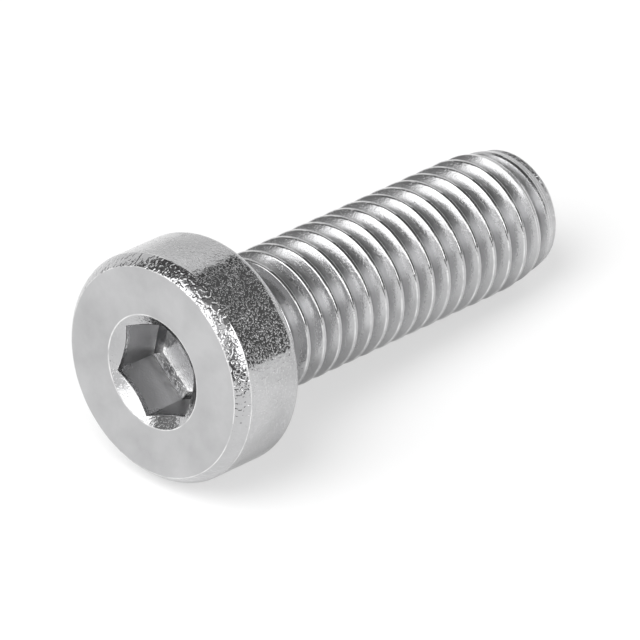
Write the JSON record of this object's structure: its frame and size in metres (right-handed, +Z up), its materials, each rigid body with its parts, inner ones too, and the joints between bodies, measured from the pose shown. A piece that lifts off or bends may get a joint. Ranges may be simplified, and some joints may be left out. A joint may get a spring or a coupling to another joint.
{
  "type": "low head hex socket cap screw",
  "caption": "Metric machine screw with a low cylindrical head, a hexagon socket for a key and a right-hand thread that runs up to the head.",
  "frame": {"origin": "on the surface that the screw lies on, under the middle of its bounding box", "axes": "+Z is up and +X runs level from the head to the tip, with the screw's own axis leaning 6.7 degrees down towards the tip, as the screw comes to rest on its head's edge and its thread"},
  "size_m": [0.03, 0.013, 0.0133],
  "materials": {
    "steel": "bright plain steel, lightly grained on the head"
  },
  "bodies": {
    "root": {"cap_screw": "steel"}
  },
  "joints": []
}
